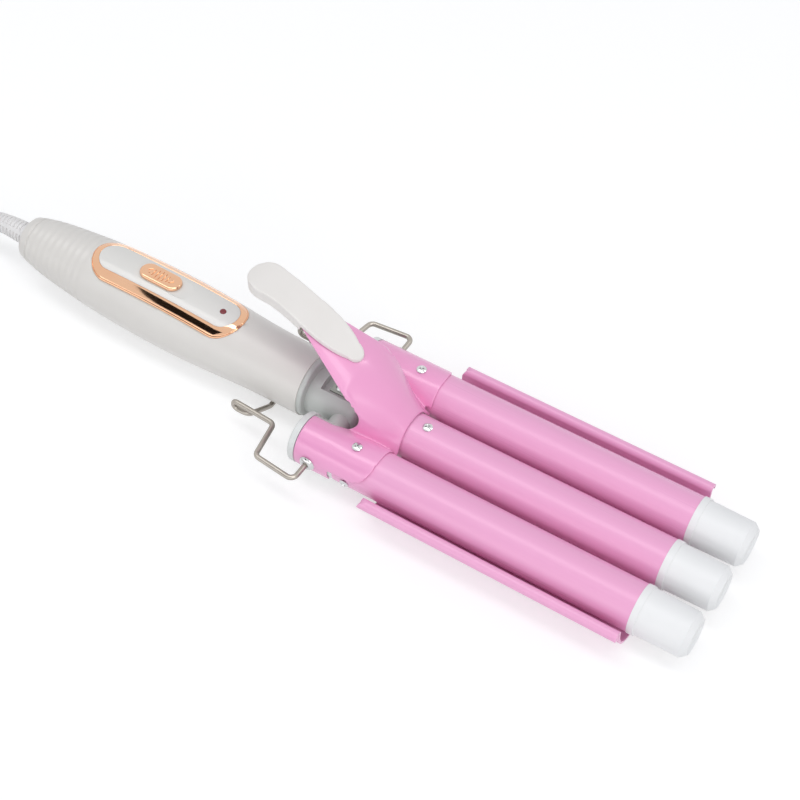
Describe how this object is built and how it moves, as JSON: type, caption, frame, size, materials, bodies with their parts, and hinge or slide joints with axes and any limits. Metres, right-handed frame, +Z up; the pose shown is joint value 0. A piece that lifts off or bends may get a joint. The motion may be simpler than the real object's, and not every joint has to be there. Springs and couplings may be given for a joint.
{
  "type": "hair waver",
  "caption": "Hair waver: parallel heated barrels over a waved plate, a sprung clamp with a thumb lever, a folding wire stand and a tapered grip with a slide switch, cord and plug.",
  "frame": {"origin": "on the table, halfway along the waver without its cord, in its mirror plane", "axes": "+X along the barrels towards their tips, +Z up, +Y to the left of someone who holds the grip"},
  "size_m": [0.5053, 0.1573, 0.0769],
  "materials": {
    "barrel_coating": "satin lengthwise",
    "cover_coating": "gloss",
    "cap_white": "satin",
    "plug_white": "satin",
    "neck_grey": "matte",
    "insulator": "matte",
    "grip_white": "gloss",
    "pad_white": "gloss",
    "rose_plate": "polished",
    "inlay_white": "gloss",
    "lens_red": "translucent gloss",
    "wire_steel": "satin",
    "screw_nickel": "polished",
    "spring_steel": "satin",
    "spreader_metal": "mill",
    "heater_ceramic": "matte",
    "board_green": "satin",
    "switch_black": "matte",
    "lamp_body": "gloss",
    "cord_white": "satin",
    "plug_moulding": "satin",
    "pin_brass": "polished"
  },
  "bodies": {
    "handle": {"middle_barrel_tube": "barrel_coating", "middle_tip_cap": "cap_white", "middle_heat_spreader": "spreader_metal", "middle_heater": "heater_ceramic", "wave_plate": "barrel_coating", "neck_housing": "neck_grey", "barrel_insulator": "insulator", "leaf_spring": "spring_steel", "grip_upper_shell": "grip_white", "grip_lower_shell": "grip_white", "panel_bezel": "rose_plate", "panel_inlay": "inlay_white", "power_switch": "switch_black", "circuit_board": "board_green", "indicator_led": "lamp_body", "indicator_lens": "lens_red", "strain_relief": "cord_white", "cord_inner_end": "cord_white", "cord_clamp": "switch_black", "cord_tube": "cord_white", "cord_coil": "cord_white", "mains_plug": "plug_moulding", "plug_pins": "pin_brass", "middle_barrel_screw": "screw_nickel", "wave_plate_screws": "screw_nickel", "spring_screw": "screw_nickel", "case_screws": "screw_nickel", "board_screws": "screw_nickel", "cord_clamp_screws": "screw_nickel"},
    "clamp": {"clamp_cover": "cover_coating", "thumb_pad": "pad_white", "arm_screws": "screw_nickel", "barrel_side_screws": "screw_nickel", "stand_rivets": "screw_nickel", "left_barrel_tube": "barrel_coating", "left_tip_cap": "cap_white", "left_heat_spreader": "spreader_metal", "left_heater": "heater_ceramic", "left_rear_plug": "plug_white", "right_barrel_tube": "barrel_coating", "right_tip_cap": "cap_white", "right_heat_spreader": "spreader_metal", "right_heater": "heater_ceramic", "right_rear_plug": "plug_white"},
    "stand": {"wire_stand": "wire_steel"},
    "switch": {"switch_knob": "rose_plate"}
  },
  "joints": [
    {"name": "clamp_hinge", "type": "hinge", "parent": "handle", "child": "clamp", "pos_m": [0.007, 0, 0.0165], "axis": [0, -1, 0], "range_deg": [0, 28], "stiffness_Nm_per_rad": 1, "springref_deg": -28.65, "deforming": ["leaf_spring"]},
    {"name": "stand_hinge", "type": "hinge", "parent": "clamp", "child": "stand", "pos_m": [0.007, 0, 0.0165], "axis": [0, -1, 0], "range_deg": [0, 100]},
    {"name": "switch_slide", "type": "slide", "parent": "handle", "child": "switch", "axis": [0.9995, 0, -0.03], "range_m": [0, 0.004]}
  ]
}
